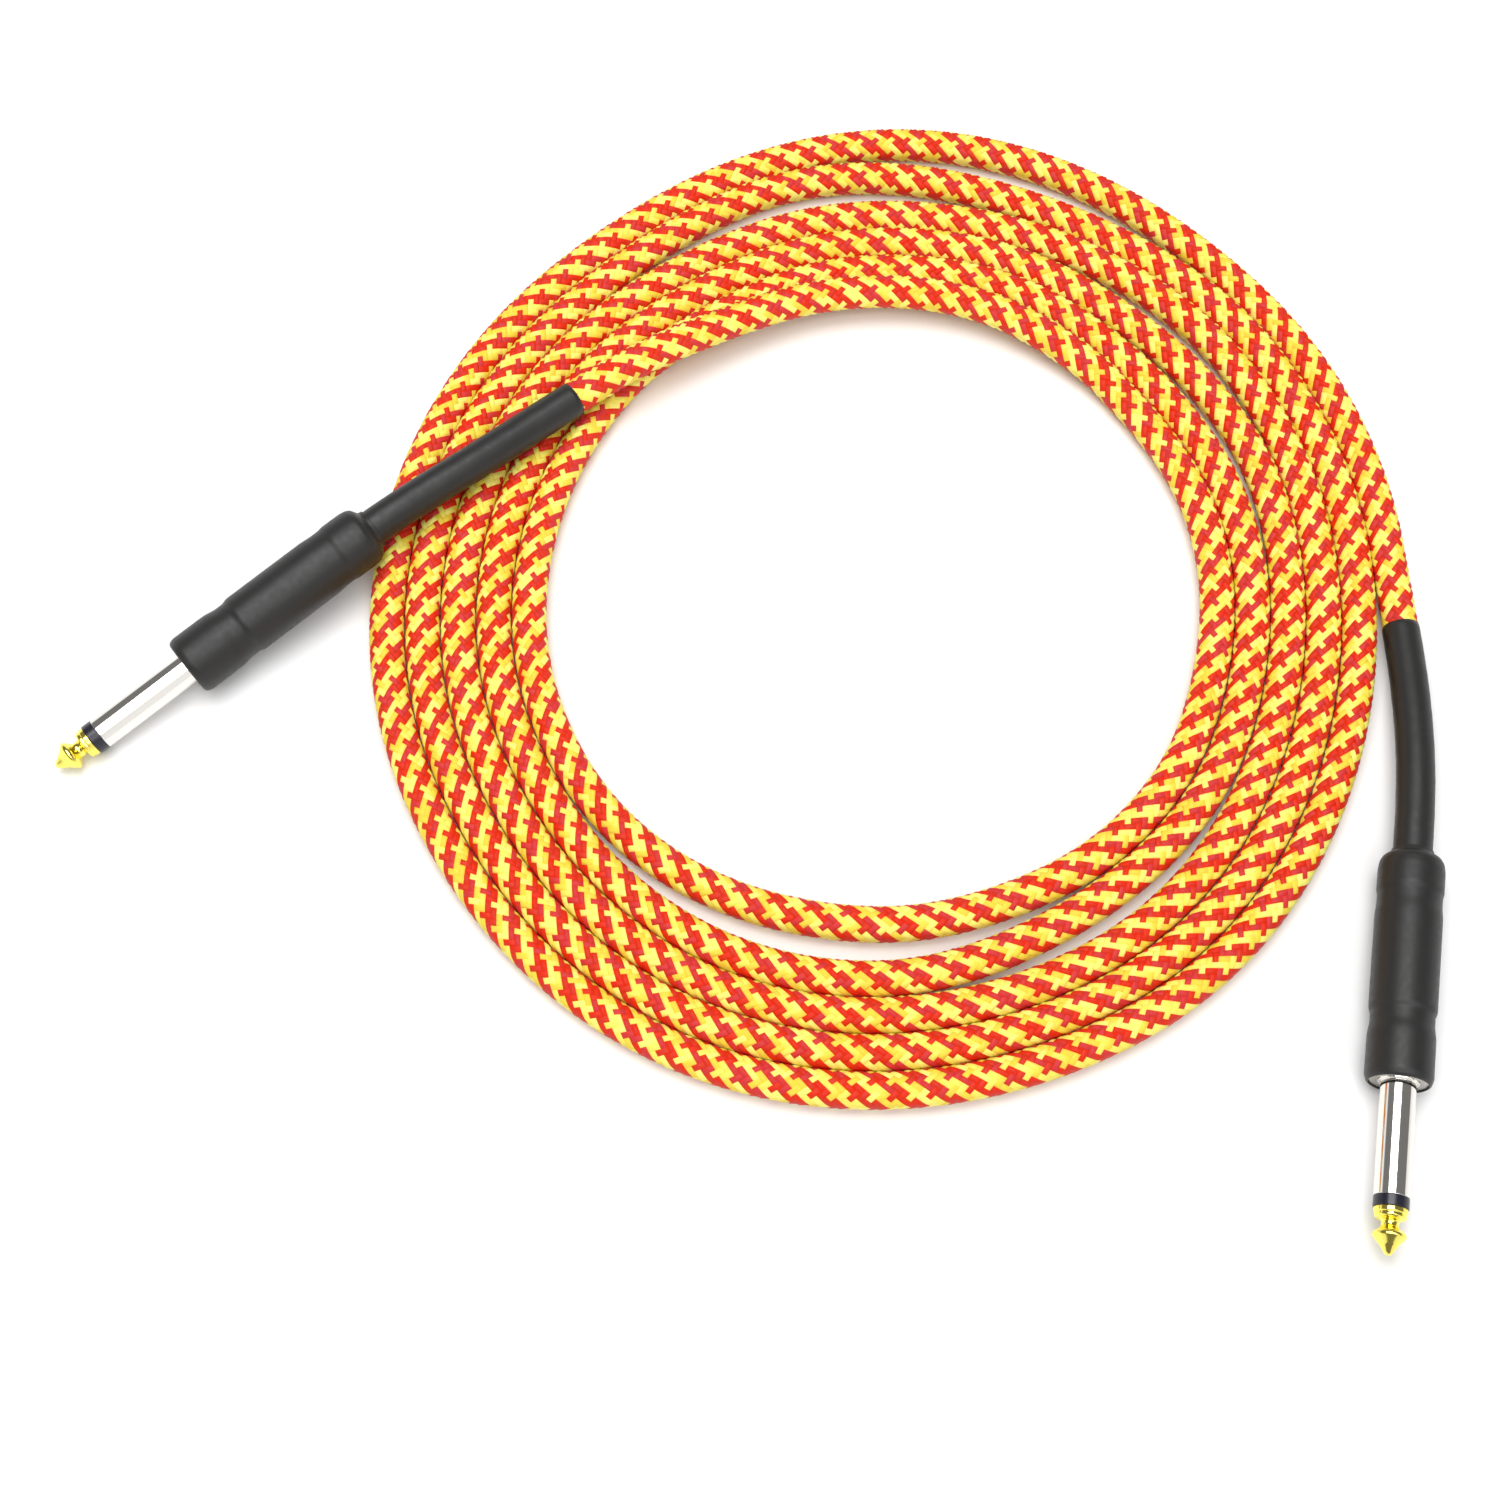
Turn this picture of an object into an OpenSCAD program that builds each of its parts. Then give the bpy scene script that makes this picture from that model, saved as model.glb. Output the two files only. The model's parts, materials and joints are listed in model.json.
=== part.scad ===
// Instrument cable: a woven cable in a flat coil with a straight 6.35 mm plug at each end.
// Millimetres, +Z up. The coil and the barrels rest on Z = 0, and the origin is under the
// middle of the whole object. Each plug is drawn along its own +Z, from the neck of its
// barrel at 0 to its tip, and at_plug() lays it down.

/* [Cable] */
// Diameter over the woven jacket
cable_d = 6.8; // [6.7:0.05:6.9]
// Diameter of the strain-relief sleeve over the cable
relief_d = 7.2; // [7.15:0.05:7.25]

/* [Coil] */
// Mean radius of the outermost turn
coil_r = 103.5; // [102:0.5:105]
// Step inward from one turn to the next
turn_step = 7; // [7:0.01:7.02]

/* [Plug] */
// Diameter of the plug's shaft
shaft_d = 6.35; // [6.3:0.01:6.35]
// Length from the barrel's mouth to the point of the tip
shaft_length = 31; // [30.5:0.1:31.5]
// Length of the barrel from neck to mouth
barrel_length = 44; // [43.5:0.1:45]
// Diameter over the barrel's heat-shrink skin
barrel_d = 12.2; // [12.1:0.05:12.3]

/* [Hidden] */
// The outermost turn is a circle with these added waves: [cosine, sine] for one to four
// waves around the coil.
WAVES = [[1.5, 6.5], [-2.25, 1.25], [-1, -0.25], [-0.25, 0.25]];
// Places where the turns lie apart. From the given turn inward, the cable sits further in
// by step, most at angle and fading out spread degrees each side: [turn, angle, spread, step].
LOOSE = [
    [0, 86, 43, -5], [0, 250, 48, -3], [1, 73, 32, 3.6], [2, 97, 36, 3.6],
    [3, 48, 30, 2], [3, 303, 36, 2], [4, 33, 33, 1.4], [4, 260, 54, 3.8]
];
COIL_CENTRE = [26.5, 3];
COIL_START = 6;
COIL_END = 5 * 360 + 45;
LAST_TURN_START = COIL_END - 360;
COIL_STEP = 6;
// The round edge of the coil in steps: heights above the floor at which each layer starts.
EDGE_LAYERS = [0, 0.5, 1.4, 2.8];
cable_r = cable_d / 2;
relief_r = relief_d / 2;

// Each plug: name, neck position, heading in the floor plane, and how far its tip dips.
PLUG_A = ["plug_a", [-73.8, 17.8, 11.9], 218.6, 7.1];
PLUG_B = ["plug_b", [124.6, -48.7, 6.15], 260, 0];
PLUGS = [PLUG_A, PLUG_B];

// Route of the cable's centre inside each strain relief, from its mouth towards the plug.
RELIEF_A = [
    [-34.6, 49, 10.8], [-44.2, 41.3, 11.2], [-53.8, 33.4, 12], [-63.6, 25.8, 12.4]
];
RELIEF_B = [
    [128.8, 0.6, 3.8], [128.8, -9.3, 4.6], [128.4, -19.2, 5.4], [127.6, -29, 6],
    [126.3, -38.8, 6.15]
];
// Where each route joins the plug's own axis, measured from the neck.
ON_AXIS = -3;
// Route of the cable's centre from the end of the coil over the last turn to plug A.
CLIMB_A = [
    [73.5, 59, 4.1], [63.5, 67, 5.6], [52.2, 73.4, 6.4], [39.6, 77.2, 6.5],
    [26.5, 78, 6.7], [13.6, 76.1, 7], [1.6, 71.5, 7.9], [-9.7, 65.6, 9.2],
    [-21.3, 58.8, 10.3], [-31.4, 51.5, 10.8]
];

// The two shallow grooves around the barrel: where each starts, and its depth.
BARREL_GROOVES = [[6.9, 0.2], [barrel_length - 13.9, 0.35]];
groove_width = 5;
groove_slope = 1;

// Lengths along the plug, from the neck.
stub_start = barrel_length - 10;
collar_start = barrel_length - 3.6;
collar_front = barrel_length - 0.4;
ring_start = barrel_length + shaft_length - 10.3;
ring_length = 2;
tip_start = ring_start + ring_length;
boss_start = stub_start - 3;
washer_start = boss_start - 1.4;
lug_start = washer_start - 0.8;
peen_start = lug_start - 0.8;
cable_end = 6;
jacket_end = 17;
shield_end = 19;
core_end = 23;
wire_end = 27;

// Radii inside the plug.
shaft_r = shaft_d / 2;
skin = 0.4;
shell_r = barrel_d / 2 - skin;
shell_bore_r = 5;
rear_bore_r = relief_r + 0.05;
collar_r = 5.2;
stub_r = 4.96;
boss_r = 3.5;
contact_bore_r = 1.9;
insulator_r = 1.85;
rod_bore_r = 1.1;
rod_r = 1.05;
jacket_r = 2.9;
shield_r = 2.3;
core_r = 1.5;
wire_r = 0.6;
tail_r = 0.6;
// How far the twisted tail of the screen is from the axis.
tail_x = core_r + 0.8;
// How far the ground tongue's outer face is from the axis.
tongue_r = 4.25;
SERRATIONS = 48;
CABLE_SIDES = 12;
ROUND = 96;

PIECES = [
    "tip", "tip_rod", "tip_insulator", "sleeve_contact", "rear_washer", "tip_lug",
    "ground_tongue", "barrel_shell", "insulating_tube", "barrel_shrink", "strain_relief",
    "solder_tip", "solder_ground", "inner_jacket", "shield", "core_insulation",
    "core_conductor"
];

// --- the coil's path ---------------------------------------------------------------------

// A smooth bump of height 1 that fades to 0 at the given spread.
function bump(offset, spread) = abs(offset) < spread ? (1 + cos(180 * offset / spread)) / 2 : 0;

function sum_of(list) = len(list) == 0 ? 0 : list * [for (x = list) 1];

// Radius of the cable's centre, winding inward: 0 is the outer end of the outermost turn.
function turn_r(winding) =
    let (turn = floor(winding / 360), angle = winding - 360 * turn)
    coil_r - turn_step * winding / 360
    + sum_of([for (n = [0:len(WAVES) - 1])
        WAVES[n][0] * cos((n + 1) * angle) + WAVES[n][1] * sin((n + 1) * angle)])
    - sum_of([for (gap = LOOSE) turn >= gap[0] ? gap[3] * bump(angle - gap[1], gap[2]) : 0]);

function coil_point(winding, outward = 0) =
    COIL_CENTRE + (turn_r(winding) + outward) * [cos(winding), sin(winding)];

// --- swept cable -------------------------------------------------------------------------

function unit(v) = v / norm(v);

// Direction of a route at point i.
function along(route, i) =
    unit(route[min(i + 1, len(route) - 1)] - route[max(i - 1, 0)]);

function ring_at(route, i, r) =
    let (
        forward = along(route, i),
        side = unit(cross(forward, [0, 0, 1])),
        up = cross(side, forward)
    )
    [for (k = [0:CABLE_SIDES - 1])
        let (a = (k + 0.5) * 360 / CABLE_SIDES)
        route[i] + r * cos(a) * side + r * sin(a) * up];

// Faces of a tube wall between rings that start at point number first.
function wall_faces(rings, first, flip) = [
    for (i = [0:rings - 2]) for (k = [0:CABLE_SIDES - 1])
        let (
            next = (k + 1) % CABLE_SIDES,
            a = first + i * CABLE_SIDES + k,
            b = first + i * CABLE_SIDES + next,
            c = b + CABLE_SIDES,
            d = a + CABLE_SIDES
        )
        each flip ? [[a, b, c], [a, c, d]] : [[a, c, b], [a, d, c]]
];

// A solid tube along a route.
module swept(route, r) {
    rings = len(route);
    last = (rings - 1) * CABLE_SIDES;
    points = [for (i = [0:rings - 1]) each ring_at(route, i, r)];
    start_cap = [for (k = [0:CABLE_SIDES - 1]) k];
    end_cap = [for (k = [0:CABLE_SIDES - 1]) last + CABLE_SIDES - 1 - k];
    polyhedron(points, concat([start_cap], wall_faces(rings, 0, false), [end_cap]));
}

// A hollow tube along a route, open at both ends.
module swept_sleeve(route, outer_r, inner_r) {
    rings = len(route);
    count = rings * CABLE_SIDES;
    points = [
        for (i = [0:rings - 1]) each ring_at(route, i, outer_r),
        for (i = [0:rings - 1]) each ring_at(route, i, inner_r)
    ];
    rims = [for (k = [0:CABLE_SIDES - 1])
        let (next = (k + 1) % CABLE_SIDES, end = count - CABLE_SIDES)
        each [
            [k, next, count + next], [k, count + next, count + k],
            [end + next, end + k, count + end + k],
            [end + next, count + end + k, count + end + next]
        ]
    ];
    polyhedron(points, concat(
        wall_faces(rings, 0, false), wall_faces(rings, count, true), rims));
}

// A point on a plug's axis, in the object's frame.
function on_plug(plug, z) =
    plug[1] + z * [
        cos(plug[3]) * cos(plug[2]), cos(plug[3]) * sin(plug[2]), -sin(plug[3])];

// Places a plug's pieces, which are drawn along +Z from the neck.
module at_plug(plug) {
    translate(plug[1]) rotate([0, 90 + plug[3], plug[2]]) children();
}

// Outline points of the barrel's grooves in a wall of radius r.
function grooved(r) = [
    for (groove = BARREL_GROOVES)
        let (start = groove[0], bottom = r - groove[1], end = start + groove_width)
        each [
            [r, start], [bottom, start + groove_slope], [bottom, end - groove_slope], [r, end]
        ]
];

function reversed(list) = [for (i = [len(list) - 1:-1:0]) list[i]];

// A straight tube of the plug, between two places along it.
module tube(from, to, outer_r, inner_r = 0) {
    translate([0, 0, from]) difference() {
        cylinder(h = to - from, r = outer_r, $fn = ROUND);
        if (inner_r > 0)
            translate([0, 0, -1]) cylinder(h = to - from + 2, r = inner_r, $fn = ROUND);
    }
}

module turned(outline) {
    rotate_extrude($fn = ROUND) polygon(outline);
}

// --- cable -------------------------------------------------------------------------------

// The turns as one flat ring, from the outer edge of the first turn to the inner edge of
// the last one. Each layer is as wide as the round cable is at the layer's top and bottom.
module coil() {
    color("gold") for (height = EDGE_LAYERS) {
        edge = sqrt(cable_r ^ 2 - (cable_r - height) ^ 2);
        outer = [for (w = [COIL_START:COIL_STEP:COIL_START + 360]) coil_point(w, edge)];
        inner = [for (w = [LAST_TURN_START:COIL_STEP:COIL_END]) coil_point(w, -edge)];
        translate([0, 0, height]) linear_extrude(cable_d - 2 * height) difference() {
            polygon(outer);
            polygon(inner);
        }
    }
}

module cable_lead_a() {
    start = coil_point(COIL_END);
    color("tomato") swept(concat(
        [[start.x, start.y, cable_r]], CLIMB_A, RELIEF_A,
        [on_plug(PLUG_A, ON_AXIS), on_plug(PLUG_A, cable_end)]), cable_r);
}

module cable_lead_b() {
    start = coil_point(COIL_START);
    color("tomato") swept(concat(
        [[start.x, start.y, cable_r]], RELIEF_B,
        [on_plug(PLUG_B, ON_AXIS), on_plug(PLUG_B, cable_end)]), cable_r);
}

// --- contacts ----------------------------------------------------------------------------

module tip() {
    end = barrel_length + shaft_length;
    color("gold") turned([
        [0, tip_start], [3, tip_start], [3, tip_start + 1], [2.6, tip_start + 1.7],
        [1.6, tip_start + 2.3], [1.6, tip_start + 3], [2, tip_start + 3.3],
        [3, tip_start + 4.3], [3, tip_start + 4.8], [1.6, end - 1.7], [0.45, end - 0.15],
        [0, end]
    ]);
}

module tip_rod() {
    color("goldenrod") {
        tube(peen_start + 0.8, tip_start, rod_r);
        tube(peen_start, peen_start + 0.8, 1.7);
    }
}

module tip_insulator() {
    color("dimgray") difference() {
        union() {
            tube(boss_start, ring_start, insulator_r);
            tube(ring_start, tip_start, shaft_r - 0.03);
        }
        tube(boss_start - 1, tip_start + 1, rod_bore_r);
    }
}

// Shaft, serrated collar, threaded stub and rear boss in one turned piece.
module sleeve_contact() {
    color("silver") difference() {
        union() {
            tube(collar_front, ring_start, shaft_r);
            tube(collar_start, collar_front, collar_r);
            tube(stub_start, collar_start, stub_r);
            tube(boss_start, stub_start, boss_r);
        }
        tube(boss_start - 1, ring_start + 1, contact_bore_r);
        for (k = [0:SERRATIONS - 1])
            rotate([0, 0, k * 360 / SERRATIONS])
                translate([shaft_r + 0.5, -0.12, collar_front - 0.2]) cube([3, 0.24, 1]);
    }
}

// --- rear of the plug --------------------------------------------------------------------

module rear_washer() {
    color("tan") tube(washer_start, boss_start, 3.4, rod_bore_r);
}

module tip_lug() {
    color("silver") difference() {
        union() {
            tube(lug_start, washer_start, 2.6);
            translate([1.8, -1.1, core_end - 1])
                cube([0.5, 2.2, washer_start - core_end + 1]);
        }
        tube(lug_start - 1, washer_start + 1, rod_bore_r);
    }
}

// Ring around the boss, a tongue along the shell and a clamp around the inner jacket.
module ground_tongue() {
    clamp_start = jacket_end - 5;
    clamp_r = jacket_r + 0.5;
    color("silver") {
        tube(stub_start - 0.7, stub_start, 4.4, boss_r + 0.02);
        difference() {
            translate([-tongue_r, -1.6, clamp_start])
                cube([0.6, 3.2, stub_start - clamp_start]);
            tube(stub_start - 0.7, stub_start + 1, 4);
        }
        difference() {
            union() {
                tube(clamp_start, jacket_end - 1, clamp_r);
                translate([-tongue_r, -1.6, clamp_start]) cube([1.2, 3.2, 4]);
            }
            tube(clamp_start - 1, jacket_end, jacket_r + 0.01);
            translate([0, -0.7, clamp_start - 1]) cube([6, 1.4, 6]);
        }
    }
}

// --- barrel ------------------------------------------------------------------------------

module barrel_shell() {
    color("slategray") difference() {
        turned(concat(
            [[0, 1.4], [4.2, 1.4], [5, 1.9], [shell_r, 3.2]], grooved(shell_r),
            [[shell_r, barrel_length - 0.6], [0, barrel_length - 0.6]]));
        tube(0, 5, rear_bore_r);
        tube(4, collar_start - 0.02, shell_bore_r);
        tube(collar_start - 0.1, barrel_length, collar_r + 0.02);
    }
}

module insulating_tube() {
    color("ivory") tube(cable_end + 1, stub_start - 1, 4.95, 4.6);
}

// Skin that follows the shell, grips the strain relief and laps over the collar's edge.
module barrel_shrink() {
    grip_r = relief_r + 0.03;
    outer_r = barrel_d / 2;
    inner_r = shell_r + 0.01;
    lip_r = collar_r + 0.05;
    front = barrel_length;
    rear_outside = [
        [grip_r, -1.2], [grip_r + 0.25, -1.2], [grip_r + 0.4, -0.4], [4.6, 0], [5.4, 0.5],
        [5.9, 1.4], [outer_r, 2.8]
    ];
    mouth = [
        [outer_r, front - 1.3], [outer_r - 0.35, front - 0.3], [outer_r - 0.75, front],
        [lip_r, front - 0.1], [lip_r, front - 0.59], [inner_r, front - 0.59]
    ];
    rear_inside = [[inner_r, 3.2], [5, 1.88], [4.2, 1.38], [grip_r, 1.38]];
    color("dimgray") turned(concat(
        rear_outside, grooved(outer_r), mouth, reversed(grooved(inner_r)), rear_inside));
}

// Thin sleeve over the cable. It runs a little way into the shell.
module strain_relief(plug) {
    route = plug == PLUG_A ? RELIEF_A : RELIEF_B;
    color("black") swept_sleeve(
        concat(route, [on_plug(plug, ON_AXIS), on_plug(plug, cable_end - 1)]),
        relief_r, cable_r + 0.03);
}

// --- wiring ------------------------------------------------------------------------------

// A bead of solder around a wire of radius inner_r.
module solder_bead(inner_r, outer_r, length) {
    turned([
        [inner_r, 0], [outer_r - 0.5, 0], [outer_r, 0.6], [outer_r, length - 0.6],
        [outer_r - 0.5, length], [inner_r, length]
    ]);
}

module solder_tip() {
    color("lightgray") difference() {
        translate([0, 0, core_end + 0.6]) solder_bead(wire_r, 1.95, 2.6);
        translate([1.8, -2, core_end - 1]) cube([2, 4, 8]);
    }
}

module solder_ground() {
    color("lightgray") difference() {
        translate([-tail_x, 0, shield_end + 0.6]) solder_bead(tail_r, 1.5, 2.4);
        translate([-tongue_r - 1, -2, shield_end]) cube([1.6, 4, 8]);
        tube(shield_end, stub_start, core_r + 0.02);
    }
}

module inner_jacket() {
    color("black") tube(cable_end, jacket_end, jacket_r, shield_r);
}

// Copper screen, gathered on one side into a tail that reaches the tongue.
module shield() {
    color("peru") {
        difference() {
            union() {
                tube(cable_end, shield_end, shield_r);
                translate([-tail_x, 0, shield_end - 0.5])
                    cylinder(h = 4, r = tail_r, $fn = 32);
            }
            tube(cable_end - 1, shield_end + 6, core_r);
        }
    }
}

module core_insulation() {
    color("white") tube(cable_end, core_end, core_r, wire_r);
}

module core_conductor() {
    color("peru") tube(cable_end, wire_end, wire_r);
}

// --- nodes -------------------------------------------------------------------------------

coil();
cable_lead_a();
cable_lead_b();
for (plug = PLUGS) {
    at_plug(plug) tip();
    at_plug(plug) tip_rod();
    at_plug(plug) tip_insulator();
    at_plug(plug) sleeve_contact();
    at_plug(plug) rear_washer();
    at_plug(plug) tip_lug();
    at_plug(plug) ground_tongue();
    at_plug(plug) barrel_shell();
    at_plug(plug) insulating_tube();
    at_plug(plug) barrel_shrink();
    strain_relief(plug);
    at_plug(plug) solder_tip();
    at_plug(plug) solder_ground();
    at_plug(plug) inner_jacket();
    at_plug(plug) shield();
    at_plug(plug) core_insulation();
    at_plug(plug) core_conductor();
}
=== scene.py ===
# Instrument cable with a woven jacket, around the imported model. Lengths are in millimetres
# until they reach a mesh, which is in metres.
import bisect
import json
import math
import random

import bpy
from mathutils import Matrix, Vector, noise

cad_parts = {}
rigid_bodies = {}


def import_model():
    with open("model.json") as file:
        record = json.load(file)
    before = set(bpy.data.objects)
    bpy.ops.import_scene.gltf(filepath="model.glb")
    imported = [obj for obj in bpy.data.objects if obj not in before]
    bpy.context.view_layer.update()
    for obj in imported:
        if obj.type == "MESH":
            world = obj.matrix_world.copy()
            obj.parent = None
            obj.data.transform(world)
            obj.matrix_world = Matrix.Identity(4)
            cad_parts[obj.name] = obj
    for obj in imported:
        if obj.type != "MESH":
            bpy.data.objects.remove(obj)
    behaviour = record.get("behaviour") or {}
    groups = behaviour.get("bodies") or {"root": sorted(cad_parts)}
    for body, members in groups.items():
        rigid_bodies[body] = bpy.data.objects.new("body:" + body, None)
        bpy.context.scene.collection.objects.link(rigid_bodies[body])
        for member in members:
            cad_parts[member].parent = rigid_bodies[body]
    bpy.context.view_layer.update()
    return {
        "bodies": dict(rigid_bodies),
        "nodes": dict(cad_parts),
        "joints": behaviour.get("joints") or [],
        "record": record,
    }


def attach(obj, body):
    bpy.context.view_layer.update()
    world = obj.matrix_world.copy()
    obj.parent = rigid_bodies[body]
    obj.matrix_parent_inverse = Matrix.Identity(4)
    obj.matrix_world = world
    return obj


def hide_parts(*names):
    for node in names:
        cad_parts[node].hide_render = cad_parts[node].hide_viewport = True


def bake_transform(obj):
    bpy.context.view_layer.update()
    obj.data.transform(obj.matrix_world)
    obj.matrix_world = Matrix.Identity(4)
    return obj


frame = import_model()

MM = 0.001

# --- dimensions --------------------------------------------------------------------------------
# They are the CAD model's, apart from details that are finer here.

CABLE_R = 3.4
SLEEVE_R = 3.6
SHAFT_R = 3.175
BARREL_R = 6.1
SHELL_R = 5.7
BARREL_LENGTH = 44.0
COLLAR_R = 5.2
COLLAR_START = BARREL_LENGTH - 3.6
COLLAR_FRONT = BARREL_LENGTH - 0.4
STUB_START = BARREL_LENGTH - 10
BOSS_START = STUB_START - 3
END = BARREL_LENGTH + 31
RING_START = END - 10.3
TIP_START = RING_START + 2
CONTACT_BORE_R = 1.9
INSULATOR_R = 1.85
ROD_BORE_R = 1.1
# Radial grooves in the collar's front face, between an inner and an outer radius.
SERRATIONS = 48
SERRATION_DEPTH = 0.3
SERRATED = (3.75, COLLAR_R - 0.1)
# The two shallow grooves around the barrel: where each starts, and its depth.
BARREL_GROOVES = [(6.9, 0.2), (BARREL_LENGTH - 13.9, 0.35)]
GROOVE_WIDTH = 5.0
# The length of a groove's rear slope. Its front slope is twice as long.
GROOVE_SLOPE = 1.0
# How far the cable reaches into the barrel.
CABLE_END = 6.0

# --- the cable's route -------------------------------------------------------------------------

COIL_R = 103.5
TURN_STEP = 7.0
COIL_CENTRE = (26.5, 3.0)
# The coil's outer end, its inner end and the step between its points, in degrees of winding.
COIL_START = 6
COIL_END = 5 * 360 + 45
COIL_STEP = 6
# Cosine and sine parts of one to four waves around the coil.
WAVES = [(1.5, 6.5), (-2.25, 1.25), (-1.0, -0.25), (-0.25, 0.25)]
# Where the turns lie apart: turn, angle, spread, step inward.
LOOSE = [
    (0, 86, 43, -5), (0, 250, 48, -3), (1, 73, 32, 3.6), (2, 97, 36, 3.6),
    (3, 48, 30, 2), (3, 303, 36, 2), (4, 33, 33, 1.4), (4, 260, 54, 3.8),
]
# Each plug: the middle of its neck, its heading over the floor and how far its tip dips.
PLUGS = {
    "a": (Vector((-73.8, 17.8, 11.9)), 218.6, 7.1),
    "b": (Vector((124.6, -48.7, 6.15)), 260.0, 0.0),
}
# The cable's middle inside each strain relief, from its mouth towards the plug.
RELIEF = {
    "a": [(-34.6, 49, 10.8), (-44.2, 41.3, 11.2), (-53.8, 33.4, 12), (-63.6, 25.8, 12.4)],
    "b": [
        (128.8, 0.6, 3.8), (128.8, -9.3, 4.6), (128.4, -19.2, 5.4), (127.6, -29, 6),
        (126.3, -38.8, 6.15),
    ],
}
# The cable's middle from the inner end of the coil over the turns to plug A.
CLIMB_A = [
    (73.5, 59, 4.1), (63.5, 67, 5.6), (52.2, 73.4, 6.4), (39.6, 77.2, 6.5),
    (26.5, 78, 6.7), (13.6, 76.1, 7), (1.6, 71.5, 7.9), (-9.7, 65.6, 9.2),
    (-21.3, 58.8, 10.3), (-31.4, 51.5, 10.8),
]
# From this place along each plug on, the cable lies on the plug's axis.
ON_AXIS = -3.0
# How far the braid reaches into each sleeve.
TUCK = 10.0
# A distance inside each strain relief's mouth; the route's point there is handed to flexes.
FLEX_START = 26.0


def bump_of(offset, spread):
    """A smooth bump of height 1 that fades to 0 at the given spread, in degrees."""
    return (1 + math.cos(math.pi * offset / spread)) / 2 if abs(offset) < spread else 0.0


def coil_point(winding):
    """The cable's middle on the floor, at a winding in degrees from the coil's outer end."""
    turn = winding // 360
    angle = winding - 360 * turn
    r = COIL_R - TURN_STEP * winding / 360
    for n, (cosine, sine) in enumerate(WAVES, start=1):
        r += cosine * math.cos(math.radians(n * angle)) + sine * math.sin(math.radians(n * angle))
    r -= sum(step * bump_of(angle - at, spread) for first, at, spread, step in LOOSE if turn >= first)
    a = math.radians(winding)
    return Vector((COIL_CENTRE[0] + r * math.cos(a), COIL_CENTRE[1] + r * math.sin(a), CABLE_R))


def plug_direction(plug):
    """From the plug's neck towards its tip."""
    neck, heading, dip = PLUGS[plug]
    h, d = math.radians(heading), math.radians(dip)
    return Vector((math.cos(d) * math.cos(h), math.cos(d) * math.sin(h), -math.sin(d)))


def on_plug(plug, z):
    """The point on the plug's axis that far from its neck."""
    return PLUGS[plug][0] + z * plug_direction(plug)


class Route:
    """A smooth curve through points, measured by its own length."""

    # Points on the curve for each of the points that it was made from.
    SAMPLES = 12

    def __init__(self, points):
        self.points = []
        self.marks = []
        for i in range(len(points) - 1):
            before = points[i - 1] if i else 2 * points[0] - points[1]
            after = points[i + 2] if i + 2 < len(points) else 2 * points[-1] - points[-2]
            self.marks.append(len(self.points))
            self.points += self._span(before, points[i], points[i + 1], after)
        self.marks.append(len(self.points))
        self.points.append(points[-1])
        self.reach = [0.0]
        for a, b in zip(self.points, self.points[1:]):
            self.reach.append(self.reach[-1] + (b - a).length)

    def _span(self, p0, p1, p2, p3):
        """Centripetal Catmull-Rom samples from p1 up to p2."""
        t1 = math.sqrt((p1 - p0).length)
        t2 = t1 + math.sqrt((p2 - p1).length)
        t3 = t2 + math.sqrt((p3 - p2).length)
        span = []
        for k in range(self.SAMPLES):
            t = t1 + (t2 - t1) * k / self.SAMPLES
            a1 = p0.lerp(p1, t / t1)
            a2 = p1.lerp(p2, (t - t1) / (t2 - t1))
            a3 = p2.lerp(p3, (t - t2) / (t3 - t2))
            b1 = a1.lerp(a2, t / t2)
            b2 = a2.lerp(a3, (t - t1) / (t3 - t1))
            span.append(b1.lerp(b2, (t - t1) / (t2 - t1)))
        return span

    def length_at(self, point_number):
        """The length from the route's start to one of the points that it was made from."""
        return self.reach[self.marks[point_number]]

    def at(self, s):
        """The point at a length from the route's start."""
        s = min(max(s, 0.0), self.reach[-1])
        i = min(max(bisect.bisect_right(self.reach, s) - 1, 0), len(self.points) - 2)
        part = (s - self.reach[i]) / (self.reach[i + 1] - self.reach[i])
        return self.points[i].lerp(self.points[i + 1], part)

    def frames(self, lengths):
        """Point, side and up at each length, with no twist from one to the next."""
        frames = []
        side = None
        for s in lengths:
            forward = (self.at(s + 1) - self.at(s - 1)).normalized()
            if side is None:
                side = forward.cross(Vector((0, 0, 1)))
            else:
                side = side - side.dot(forward) * forward
            side.normalize()
            frames.append((self.at(s), side.copy(), forward.cross(side)))
        return frames


b_side = [on_plug("b", CABLE_END), on_plug("b", ON_AXIS)] + [Vector(p) for p in reversed(RELIEF["b"])]
windings = list(range(COIL_START, COIL_END, COIL_STEP)) + [COIL_END]
a_side = [Vector(p) for p in CLIMB_A + RELIEF["a"]] + [on_plug("a", ON_AXIS), on_plug("a", CABLE_END)]
route = Route(b_side + [coil_point(w) for w in windings] + a_side)
mouth_b = route.length_at(len(b_side) - 1)
mouth_a = route.length_at(len(b_side) + len(windings) + len(CLIMB_A))
route_end = route.reach[-1]

# --- camera ------------------------------------------------------------------------------------
# It stands at the photograph's viewpoint.

camera = bpy.data.objects.new("camera", bpy.data.cameras.new("camera"))
bpy.context.scene.collection.objects.link(camera)
camera.location = (0.001, -0.2004, 0.3982)
camera.rotation_euler = (math.radians(23.9), 0, 0)
camera.data.lens = 54
camera.data.sensor_width = 36
camera.data.clip_start = 0.01
bpy.context.scene.camera = camera

# --- materials ---------------------------------------------------------------------------------


def principled(name, colour, roughness=0.5, **sockets):
    """A new material with its Principled shader; sockets are named with _ for a space."""
    material = bpy.data.materials.new(name)
    material.use_nodes = True
    shader = material.node_tree.nodes["Principled BSDF"]
    shader.inputs["Base Color"].default_value = (*colour, 1)
    shader.inputs["Roughness"].default_value = roughness
    for socket, value in sockets.items():
        shader.inputs[socket.replace("_", " ")].default_value = value
    return material


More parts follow.
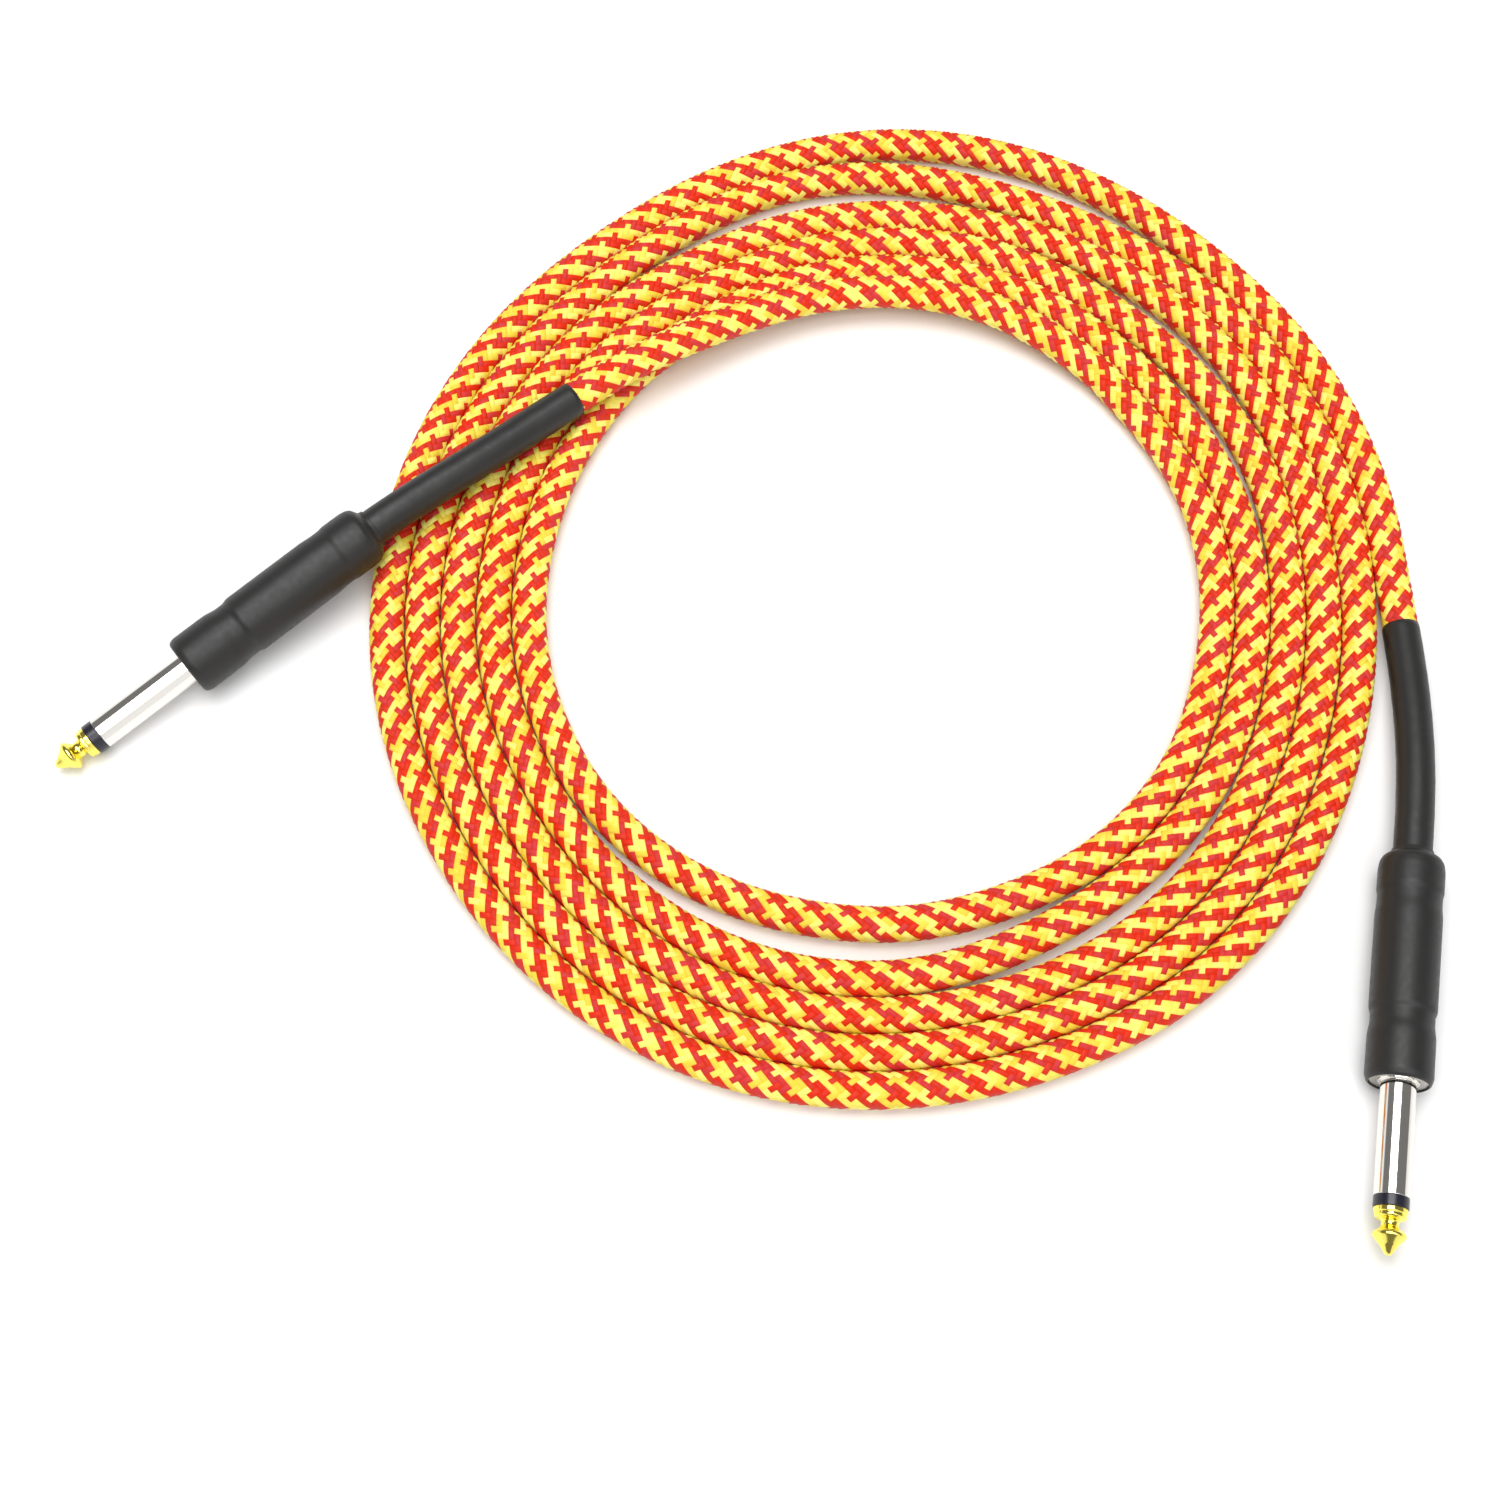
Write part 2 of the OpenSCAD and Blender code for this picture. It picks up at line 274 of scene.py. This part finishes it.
def add_node(owner, kind, inputs=(), **settings):
    """A new node in a material or world; an input is a number, a colour or a socket to link."""
    node = owner.node_tree.nodes.new(kind)
    for key, value in settings.items():
        setattr(node, key, value)
    for socket, value in dict(inputs).items():
        if isinstance(value, bpy.types.NodeSocket):
            owner.node_tree.links.new(value, node.inputs[socket])
        else:
            node.inputs[socket].default_value = value
    return node


# Most of a noise texture's values lie in this range.
NOISE_RANGE = (0.3, 0.7)


def surface(material, place, low, high, relief, scale, detail=4.0, distance=0.00005):
    """Varies the roughness from low to high and adds a fine bump, from noise over place."""
    shader = material.node_tree.nodes["Principled BSDF"]
    grain = add_node(material, "ShaderNodeTexNoise", {
        "Vector": place, "Scale": scale, "Detail": detail,
    })
    rough = add_node(material, "ShaderNodeMapRange", {
        "Value": grain.outputs["Fac"], "From Min": NOISE_RANGE[0], "From Max": NOISE_RANGE[1],
        "To Min": low, "To Max": high,
    })
    bump = add_node(material, "ShaderNodeBump", {
        "Height": grain.outputs["Fac"], "Strength": relief, "Distance": distance,
    })
    material.node_tree.links.new(rough.outputs["Result"], shader.inputs["Roughness"])
    material.node_tree.links.new(bump.outputs["Normal"], shader.inputs["Normal"])
    return material


def stretched(material, source, scale):
    """Texture coordinates scaled differently along each axis."""
    return add_node(material, "ShaderNodeMapping", {"Vector": source, "Scale": scale}).outputs["Vector"]


def over_object(material):
    """Texture coordinates fixed to the object."""
    return add_node(material, "ShaderNodeTexCoord").outputs["Object"]


def yarn(name, colour):
    """Flat multifilament yarn: fine lines along it, from the braid's own coordinates."""
    material = principled(name, colour, Specular_IOR_Level=0.22)
    strands = add_node(material, "ShaderNodeAttribute", attribute_name="yarn").outputs["Vector"]
    # The grain is finer across a yarn than along it.
    place = stretched(material, strands, (3.2, 0.5, 1))
    return surface(material, place, 0.42, 0.62, 1.0, 1.6, distance=0.0001)


def moulded(name, colour, low, high, relief, scale, **sockets):
    """A plain material with fine uneven gloss and a slight bump."""
    material = principled(name, colour, **sockets)
    return surface(material, over_object(material), low, high, relief, scale)


# Each float of a yarn takes one of three tints of its colour.
YELLOWS = [(0.88, 0.76, 0.12), (0.83, 0.63, 0.06), (0.92, 0.83, 0.18)]
REDS = [(0.63, 0.030, 0.010), (0.68, 0.024, 0.004), (0.60, 0.034, 0.032)]
yellow_yarns = [yarn(f"yellow_yarn_{n}", colour) for n, colour in enumerate(YELLOWS, start=1)]
red_yarns = [yarn(f"red_yarn_{n}", colour) for n, colour in enumerate(REDS, start=1)]
heat_shrink = moulded(
    "heat_shrink", (0.016, 0.0155, 0.015), 0.40, 0.50, 0.2, 900, Specular_IOR_Level=0.4)
nickel = moulded("nickel_plate", (0.86, 0.83, 0.78), 0.08, 0.09, 0.01, 900, Metallic=1.0)
ground_nickel = moulded("ground_nickel", (0.74, 0.72, 0.67), 0.35, 0.45, 0.1, 900, Metallic=1.0)
# Near-black nickel for the deepest faces of the collar's serrations: painted shade in the groove roots.
painted_groove_shade = moulded("nickel_painted_groove_shade", (0.035, 0.03, 0.025), 0.5, 0.7, 0.1, 900, Metallic=1.0)
gold = moulded("gold_plate", (1.0, 0.84, 0.17), 0.06, 0.12, 0.03, 300, Metallic=1.0)
insulator = moulded("insulator", (0.012, 0.012, 0.022), 0.22, 0.32, 0.05, 700)
SLOTS = {
    "woven_jacket": yellow_yarns[0],
    "heat_shrink": heat_shrink,
    "nickel_plate": nickel,
    "gold_plate": gold,
    "insulator": insulator,
    "phenolic": moulded("phenolic", (0.36, 0.17, 0.06), 0.45, 0.65, 0.2, 1200),
    "tinned_brass": moulded("tinned_brass", (0.72, 0.70, 0.66), 0.25, 0.42, 0.1, 500, Metallic=1.0),
    "clear_tube": moulded(
        "clear_tube", (0.80, 0.80, 0.76), 0.2, 0.3, 0.05, 300, Transmission_Weight=0.6),
    "solder": moulded("solder", (0.66, 0.66, 0.67), 0.22, 0.4, 0.3, 1500, Metallic=1.0),
    "inner_jacket": moulded("inner_jacket", (0.02, 0.02, 0.02), 0.5, 0.65, 0.15, 1200),
    "copper": moulded("copper", (0.82, 0.42, 0.27), 0.25, 0.4, 0.4, 1800, Metallic=1.0),
    "core_insulation": moulded("core_insulation", (0.85, 0.84, 0.80), 0.35, 0.45, 0.05, 600),
}

# --- making pieces -----------------------------------------------------------------------------


def piece(name, verts, faces, materials):
    """A smooth mesh object from points in millimetres."""
    mesh = bpy.data.meshes.new(name)
    mesh.from_pydata([p * MM for p in verts], [], faces)
    for material in materials:
        mesh.materials.append(material)
    obj = bpy.data.objects.new(name, mesh)
    bpy.context.scene.collection.objects.link(obj)
    mesh.polygons.foreach_set("use_smooth", [True] * len(faces))
    return obj


# --- the braid ---------------------------------------------------------------------------------
# Twelve yarns wind each way, over two and under two. A point is given by its ring, in half
# steps along the cable, and its place around it. On the unrolled surface, a yarn of one set
# lies between whole values of p = (ring + place) / 2 and leans back, and a yarn of the other
# lies between whole values of q = (ring - place) / 2 and leans forward. Each visible float
# is two diamonds long, with a low rim and a raised ridge.

PLACES = 24
HALF_STEP = 0.87
CROWN_R = 3.5
GROOVE_R = 2.84
# The turns press the grooves shallower where they touch, at the cable's sides.
PRESSED = 0.52
# The most that a crown may be lower than CROWN_R.
UNEVEN = 0.06
# It seeds the crowns' heights and the floats' tints.
SEED = 11


def float_faces(ring, place, lean):
    """Triangles of a float that starts at this diamond and goes on to the next one."""
    low, high = (ring, place), (ring + 1, place + lean)
    start, end = (ring - 1, place), (ring + 2, place + lean)
    near, far = (ring, place - lean), (ring, place + lean)
    inner, outer = (ring + 1, place), (ring + 1, place + 2 * lean)
    return [
        (low, start, far), (low, far, high), (low, high, inner), (low, inner, near),
        (low, near, start), (high, far, outer), (high, outer, end), (high, end, inner),
    ]


def diamond_faces(ring, place, lean):
    """Triangles of a single diamond, where the braid's end cuts a float."""
    rim = [(ring - 1, place), (ring, place + lean), (ring + 1, place), (ring, place - lean)]
    return [((ring, place), a, b) for a, b in zip(rim, rim[1:] + rim[:1])]


def yarn_place(ring, place, lean):
    """Where a point is across its yarn and along it, both in yarn widths."""
    p, q = (ring + place) / 2, (ring - place) / 2
    return (q, p) if lean > 0 else (p, q)


def braid(name, start, end):
    """A closed length of woven jacket along the route."""
    rings = round((end - start) / HALF_STEP)
    frames = route.frames([start + (end - start) * k / rings for k in range(rings + 1)])
    spin = [(math.cos(math.tau * m / PLACES), math.sin(math.tau * m / PLACES)) for m in range(PLACES)]
    verts, on_rim, faces, slots, strands, numbers = [], [], [], [], [], {}
    dice = random.Random(SEED)

    def number(ring, place):
        """The number of a point, which is made when it is first asked for."""
        key = (ring, place % PLACES)
        if key not in numbers:
            middle, side, up = frames[ring]
            rim = (ring + place) % 2 == 0
            cosine, sine = spin[place % PLACES]
            numbers[key] = len(verts)
            if rim:
                r = GROOVE_R + PRESSED * cosine ** 4
            else:
                r = CROWN_R - dice.uniform(0, UNEVEN)
            point = middle + r * (cosine * side + sine * up)
            # The floor presses the braid flat.
            point.z = max(point.z, 0)
            verts.append(point)
            on_rim.append(rim)
        return numbers[key]

    def add(triangles, ring, place, lean):
        """Adds a float in one tint. Two yarns of a set are yellow, and the next two are red."""
        across = math.floor(yarn_place(ring, place, lean)[0])
        slot = dice.randrange(len(YELLOWS)) + (0 if across % 4 < 2 else len(YELLOWS))
        for corners in triangles:
            corners = corners if lean > 0 else corners[::-1]
            faces.append([number(*corner) for corner in corners])
            slots.append(slot)
            for corner in corners:
                u, v = yarn_place(*corner, lean)
                strands.extend((u, v, slot))

    # Floats that lean back begin at the second of each four places and end at the first, and
    # floats that lean forward begin at the third and end at the fourth.
    for ring in range(1, rings):
        for place in range(PLACES):
            kind = place % 4
            if (ring + place) % 2 == 0:
                continue
            lean = -1 if kind < 2 else 1
            begins = kind in (1, 2)
            if begins and ring + 1 < rings:
                add(float_faces(ring, place, lean), ring, place, lean)
            elif begins or ring == 1:
                add(diamond_faces(ring, place, lean), ring, place, lean)

    # Each end is closed by a fan around its middle.
    for ring, inward, flip in ((0, 1, False), (rings, -1, True)):
        hub = len(verts)
        verts.append(frames[ring][0])
        on_rim.append(True)
        for place in range(ring % 2, PLACES, 2):
            for side in (1, -1):
                pair = [number(ring + inward, place + side), number(ring, place)]
                faces.append([hub] + (pair if (side > 0) != flip else pair[::-1]))
                slots.append(0)
                strands.extend((0.0, 0.0, 0.0) * 3)

    obj = piece(name, verts, faces, yellow_yarns + red_yarns)
    mesh = obj.data
    mesh.polygons.foreach_set("material_index", slots)
    mesh.attributes.new("yarn", "FLOAT_VECTOR", "CORNER").data.foreach_set("vector", strands)
    edges = [0] * (2 * len(mesh.edges))
    mesh.edges.foreach_get("vertices", edges)
    sharp = [on_rim[a] and on_rim[b] for a, b in zip(edges[::2], edges[1::2])]
    mesh.attributes.new("sharp_edge", "BOOLEAN", "EDGE").data.foreach_set("value", sharp)
    return obj


# --- swept and turned pieces -------------------------------------------------------------------

# An edge of a turned piece is sharp from this angle on, in degrees.
SHARP_FROM = 40


def skin_faces(rings, closed):
    """Quads between rings of point numbers; a ring of one point closes to a cone."""
    faces = []
    pairs = list(zip(rings, rings[1:] + rings[:1])) if closed else list(zip(rings, rings[1:]))
    for here, there in pairs:
        count = max(len(here), len(there))
        for m in range(count):
            n = (m + 1) % count
            quad = [
                here[m % len(here)], here[n % len(here)], there[n % len(there)], there[m % len(there)],
            ]
            faces.append(list(dict.fromkeys(quad)))
    return faces


def rounded(outline, radius, closed=True):
    """The outline with each corner rounded, and with points close by that keep its flats flat."""
    margin = 0.3
    made = []
    for i, corner in enumerate(outline):
        if not closed and i in (0, len(outline) - 1):
            made.append(corner)
            continue
        corner = Vector(corner)
        before = Vector(outline[i - 1]) - corner
        after = Vector(outline[(i + 1) % len(outline)]) - corner
        reach = min(radius, before.length / 3, after.length / 3)
        a, b = corner + reach * before.normalized(), corner + reach * after.normalized()
        made.append(tuple(a + margin * reach * before.normalized()))
        made += [tuple(a.lerp(corner, t).lerp(corner.lerp(b, t), t)) for t in (0, 0.25, 0.5, 0.75, 1)]
        made.append(tuple(b + margin * reach * after.normalized()))
    return made


def turned(name, plug, outline, material, sides=96, shape=None):
    """Turns an outline of (radius, place along the plug); shape may move a point by its angle."""
    forward = plug_direction(plug)
    side = forward.cross(Vector((0, 0, 1))).normalized()
    up = forward.cross(side)
    verts, rings = [], []
    for r, z in outline:
        ring = []
        for m in range(sides if r > 0 else 1):
            angle = math.tau * m / sides
            moved_r, moved_z = shape(r, z, angle) if shape else (r, z)
            ring.append(len(verts))
            out = math.cos(angle) * side + math.sin(angle) * up
            verts.append(on_plug(plug, moved_z) + moved_r * out)
        rings.append(ring)
    closed = all(r > 0 for r, z in outline)
    obj = piece(f"{name}_{plug}", verts, skin_faces(rings, closed), [material])
    obj.data.set_sharp_from_angle(angle=math.radians(SHARP_FROM))
    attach(obj, f"plug_{plug}")
    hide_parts(f"plug_{plug}_{name}")
    return obj


# --- the plugs ---------------------------------------------------------------------------------


def wavy(amount, waves, length):
    """Moves an outer surface in and out a little, as film that was shrunk by hand."""
    def shape(r, z, angle):
        outside = r > SHELL_R + 0.02
        where = Vector((waves * math.cos(angle), waves * math.sin(angle), z / length))
        return r + (amount * noise.noise(where) if outside else 0), z
    return shape


def serrated(r, z, angle):
    """Lowers one point in each groove of the collar's front face, half-way between its lands."""
    cut = in_serration(r, z) and math.cos(SERRATIONS * angle) < -0.9
    return r, z - (SERRATION_DEPTH if cut else 0)


def in_serration(r, z):
    """Whether a point is on the serrated ring, cut or not."""
    inner, outer = SERRATED
    return inner < r < outer and COLLAR_FRONT - 2 * SERRATION_DEPTH < z < COLLAR_FRONT + 0.01


def tip(plug):
    """Gold tip: flange, waist, shoulder and cone with a blunt point."""
    start, end = TIP_START, END
    outline = [
        (0, start), (2.9, start), (3.0, start + 0.12), (3.0, start + 0.85), (2.8, start + 1.0),
        (2.82, start + 1.15), (2.86, start + 1.55), (2.6, start + 1.85), (1.95, start + 2.05),
        (1.6, start + 2.35), (1.52, start + 2.8), (1.6, start + 3.25), (1.95, start + 3.6),
        (2.6, start + 4.15), (2.92, start + 4.5), (3.0, start + 4.8), (2.9, start + 5.1),
        (2.55, start + 5.5), (1.6, end - 1.75), (0.8, end - 0.5), (0.5, end - 0.18),
        (0.22, end - 0.03), (0, end),
    ]
    return turned("tip", plug, rounded(outline, 0.2, closed=False), gold)


def tip_insulator(plug):
    """Black tube through the shaft, with the ring that shows between shaft and tip."""
    ring_r = SHAFT_R - 0.03
    outline = [
        (ROD_BORE_R, BOSS_START), (INSULATOR_R, BOSS_START), (INSULATOR_R, RING_START),
        (ring_r, RING_START), (ring_r, TIP_START), (ROD_BORE_R, TIP_START),
    ]
    return turned("tip_insulator", plug, rounded(outline, 0.12), insulator)


def sleeve_contact(plug):
    """Nickel shaft, serrated collar, threaded stub and rear boss in one turned piece."""
    stub_r, boss_r, thread_depth, thread_step = 4.96, 3.5, 0.35, 0.8
    # land is the ground-nickel slot; cut is the near-black slot, painted shade in the serrations'
    # roots.
    sides_per_groove, land, cut = 6, 1, 2
    threads = int((COLLAR_START - STUB_START - 1) / thread_step)
    outline = [
        (CONTACT_BORE_R, BOSS_START), (boss_r, BOSS_START), (boss_r, STUB_START), (stub_r, STUB_START),
    ]
    for n in range(threads):
        z = STUB_START + 0.5 + n * thread_step
        outline += [(stub_r, z), (stub_r - thread_depth, z + thread_step / 2)]
    outline += [
        (stub_r, COLLAR_START - 0.4), (stub_r, COLLAR_START), (COLLAR_R, COLLAR_START),
        (COLLAR_R, COLLAR_FRONT), (5.05, COLLAR_FRONT), (5.0, COLLAR_FRONT), (3.85, COLLAR_FRONT),
        (3.8, COLLAR_FRONT), (3.7, COLLAR_FRONT + 0.25), (SHAFT_R + 0.05, COLLAR_FRONT + 0.25),
        (SHAFT_R, COLLAR_FRONT + 0.35), (SHAFT_R, RING_START), (CONTACT_BORE_R, RING_START),
    ]
    obj = turned(
        "sleeve_contact", plug, rounded(outline, 0.1), nickel,
        sides=sides_per_groove * SERRATIONS, shape=serrated)
    obj.data.materials.append(ground_nickel)
    obj.data.materials.append(painted_groove_shade)
    # Serration faces deeper than this take the near-black slot, painted shade in the groove roots; the
    # rest take the ground nickel.
    painted_shade_from = COLLAR_FRONT - 0.4 * SERRATION_DEPTH
    for face in obj.data.polygons:
        from_neck = face.center / MM - PLUGS[plug][0]
        z = from_neck.dot(plug_direction(plug))
        r = (from_neck - z * plug_direction(plug)).length
        if in_serration(r, z):
            face.material_index = cut if z < painted_shade_from else land
    return obj


def grooved(r):
    """Outline points of the barrel's grooves in a wall of radius r."""
    points = []
    for start, depth in BARREL_GROOVES:
        end = start + GROOVE_WIDTH
        points += [
            (r, start), (r - depth, start + GROOVE_SLOPE),
            (r - depth, end - 2 * GROOVE_SLOPE), (r, end),
        ]
    return points


def barrel_shrink(plug):
    """Skin over the barrel: it dips into the shell's two grooves and laps over the collar."""
    r, inner, front = BARREL_R, SHELL_R + 0.01, BARREL_LENGTH
    grip, lip = SLEEVE_R + 0.03, COLLAR_R + 0.05
    rear_outside = [
        (grip, -1.2), (grip + 0.25, -1.2), (grip + 0.4, -0.4), (4.6, 0), (5.4, 0.5), (5.9, 1.4),
        (r, 2.8),
    ]
    mouth = [
        (r, front - 1.3), (r - 0.35, front - 0.3), (r - 0.75, front), (lip, front - 0.1),
        (lip, front - 0.59), (inner, front - 0.59),
    ]
    rear_inside = [(inner, 3.2), (5, 1.88), (4.2, 1.38), (grip, 1.38)]
    outline = rear_outside + grooved(r) + mouth + grooved(inner)[::-1] + rear_inside
    return turned(
        "barrel_shrink", plug, rounded(outline, 0.7), heat_shrink,
        shape=wavy(amount=0.05, waves=1.5, length=6))


def strain_relief(plug, mouth, end):
    """Thin heat-shrunk tube over the cable, from its mouth to inside the barrel."""
    wall, sides, spacing = 0.16, 48, 0.8
    # The outside is slightly uneven, but for its rims and the rings in and near the barrel.
    rim_drop, amount, wave = 0.06, 0.05, 2.5
    plain_rings = 10
    count = round(abs(end - mouth) / spacing)
    lengths = [mouth + (end - mouth) * k / count for k in range(count + 1)]
    frames = route.frames(lengths)
    verts, rings = [], []

    def ring(frame, r, uneven=0.0):
        middle, side, up = frame
        for m in range(sides):
            angle = math.tau * m / sides
            out = math.cos(angle) * side + math.sin(angle) * up
            grown = r + uneven * noise.noise((middle + r * out) / wave)
            verts.append(middle + grown * out)
        rings.append(list(range(len(verts) - sides, len(verts))))

    for k, frame in enumerate(frames):
        at_rim = k in (0, count)
        plain = at_rim or k > count - plain_rings
        ring(frame, SLEEVE_R - (rim_drop if at_rim else 0), 0.0 if plain else amount)
    for frame in reversed(frames):
        ring(frame, SLEEVE_R - wall)
    faces = skin_faces(rings, closed=True)
    if end < mouth:
        faces = [face[::-1] for face in faces]
    obj = piece(f"strain_relief_{plug}", verts, faces, [heat_shrink])
    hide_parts(f"plug_{plug}_strain_relief")
    return obj


def flexes(obj, start):
    """Bakes a piece's placement into its mesh."""
    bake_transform(obj)


# --- the object --------------------------------------------------------------------------------

cable = braid("cable_braid", mouth_b - TUCK, mouth_a + TUCK)
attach(cable, "cable")
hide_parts("coil", "cable_lead_a", "cable_lead_b")

# Plug A is on the cord's far end.
on_plug_a = []
for plug, mouth, end, inward in (("a", mouth_a, route_end, 1), ("b", mouth_b, 0.0, -1)):
    relief = strain_relief(plug, mouth, end - inward)
    tail_ends = sorted((mouth + inward * TUCK, end))
    tail = braid(f"cable_tail_{plug}", *tail_ends)
    for obj in (relief, tail):
        flexes(obj, route.at(mouth + inward * FLEX_START))
    made = [tip(plug), tip_insulator(plug), sleeve_contact(plug), barrel_shrink(plug), relief, tail]
    if plug == "a":
        on_plug_a = made

# The CAD nodes get this script's materials.
slots = {part["node"]: part["material_slot"] for part in frame["record"]["subparts"]}
replaced = ("tip", "tip_insulator", "sleeve_contact", "barrel_shrink", "strain_relief")
for node, obj in frame["nodes"].items():
    obj.data.materials.clear()
    obj.data.materials.append(SLOTS[slots[node]])
    if node.startswith("plug_a_") and node[len("plug_a_"):] not in replaced:
        on_plug_a.append(node)

centreline_step = 3
steps = int((mouth_a - mouth_b + 2 * TUCK) / centreline_step)
centreline = [route.at(mouth_b - TUCK + centreline_step * k) for k in range(steps + 1)]
centreline.append(route.at(mouth_a + TUCK))
route.at(mouth_b) * MM

# --- studio ------------------------------------------------------------------------------------

FLOOR_SIZE = 1.4
# The room's brightness away from its bright parts, and in them.
DIM = 0.2
BRIGHT = 1.0
# It is bright low down all round: the heights where that begins and where it is full.
LOW_FADE = (0.30, 0.18)
# It is bright in a tall strip: where it stands, how far from its middle it begins and is full,
# and how far towards that side it begins and is full.
STRIP_AT = (0.68, -0.73, 0.0)
STRIP_EDGE = (0.3, 0.2)
STRIP_SIDE = (0.2, 0.4)


def studio_floor():
    """A square sheet of white paper."""
    half = FLOOR_SIZE / 2
    corners = [(-half, -half, 0), (half, -half, 0), (half, half, 0), (-half, half, 0)]
    mesh = bpy.data.meshes.new("floor")
    mesh.from_pydata(corners, [], [(0, 1, 2, 3)])
    obj = bpy.data.objects.new("floor", mesh)
    bpy.context.scene.collection.objects.link(obj)
    paper = principled("paper", (0.90, 0.90, 0.90), 0.8, Specular_IOR_Level=0.1)
    mesh.materials.append(surface(paper, over_object(paper), 0.75, 0.9, 0.1, 300))


def softbox(name, location, target, size, power):
    """A rectangular light that faces its target."""
    data = bpy.data.lights.new(name, "AREA")
    data.shape = "RECTANGLE"
    data.size, data.size_y = size
    data.energy = power
    obj = bpy.data.objects.new(name, data)
    bpy.context.scene.collection.objects.link(obj)
    obj.location = location
    obj.rotation_euler = (Vector(target) - Vector(location)).to_track_quat("-Z", "Y").to_euler()


def fade(world, value, begins, full, most=1.0):
    """A smooth step from 0, where the value begins it, to the most, where it is full."""
    return add_node(world, "ShaderNodeMapRange", {
        "Value": value, "From Min": begins, "From Max": full, "To Max": most,
    }, interpolation_type="SMOOTHSTEP").outputs["Result"]


def along(world, direction, axis):
    """How far a direction points along an axis."""
    return add_node(world, "ShaderNodeVectorMath", {
        0: direction, 1: axis,
    }, operation="DOT_PRODUCT").outputs["Value"]


def studio_world():
    """Bright low down all round, dim above but for one tall strip, for polished metal to show."""
    world = bpy.data.worlds.new("studio")
    world.use_nodes = True
    bpy.context.scene.world = world
    direction = add_node(world, "ShaderNodeTexCoord").outputs["Generated"]
    ahead = along(world, direction, STRIP_AT)
    aside = along(world, direction, (STRIP_AT[1], -STRIP_AT[0], 0))
    apart = add_node(world, "ShaderNodeMath", {0: aside}, operation="ABSOLUTE").outputs["Value"]
    strip = fade(world, apart, *STRIP_EDGE, most=fade(world, ahead, *STRIP_SIDE))
    height = add_node(world, "ShaderNodeSeparateXYZ", {"Vector": direction}).outputs["Z"]
    low_down = fade(world, height, *LOW_FADE)
    bright = add_node(world, "ShaderNodeMath", {0: strip, 1: low_down}, operation="MAXIMUM")
    level = add_node(world, "ShaderNodeMath", {
        0: bright.outputs["Value"], 1: BRIGHT - DIM, 2: DIM,
    }, operation="MULTIPLY_ADD")
    background = world.node_tree.nodes["Background"]
    background.inputs["Color"].default_value = (1, 1, 1, 1)
    world.node_tree.links.new(level.outputs["Value"], background.inputs["Strength"])


studio_floor()
studio_world()
softbox("key", location=(-0.12, 0.2, 1.2), target=(-0.12, 0.2, 0), size=(0.95, 0.8), power=13)
softbox("front", location=(0, -0.55, 1.15), target=(0, 0, 0), size=(1.5, 0.55), power=7)
bpy.context.scene.view_settings.view_transform = "Standard"
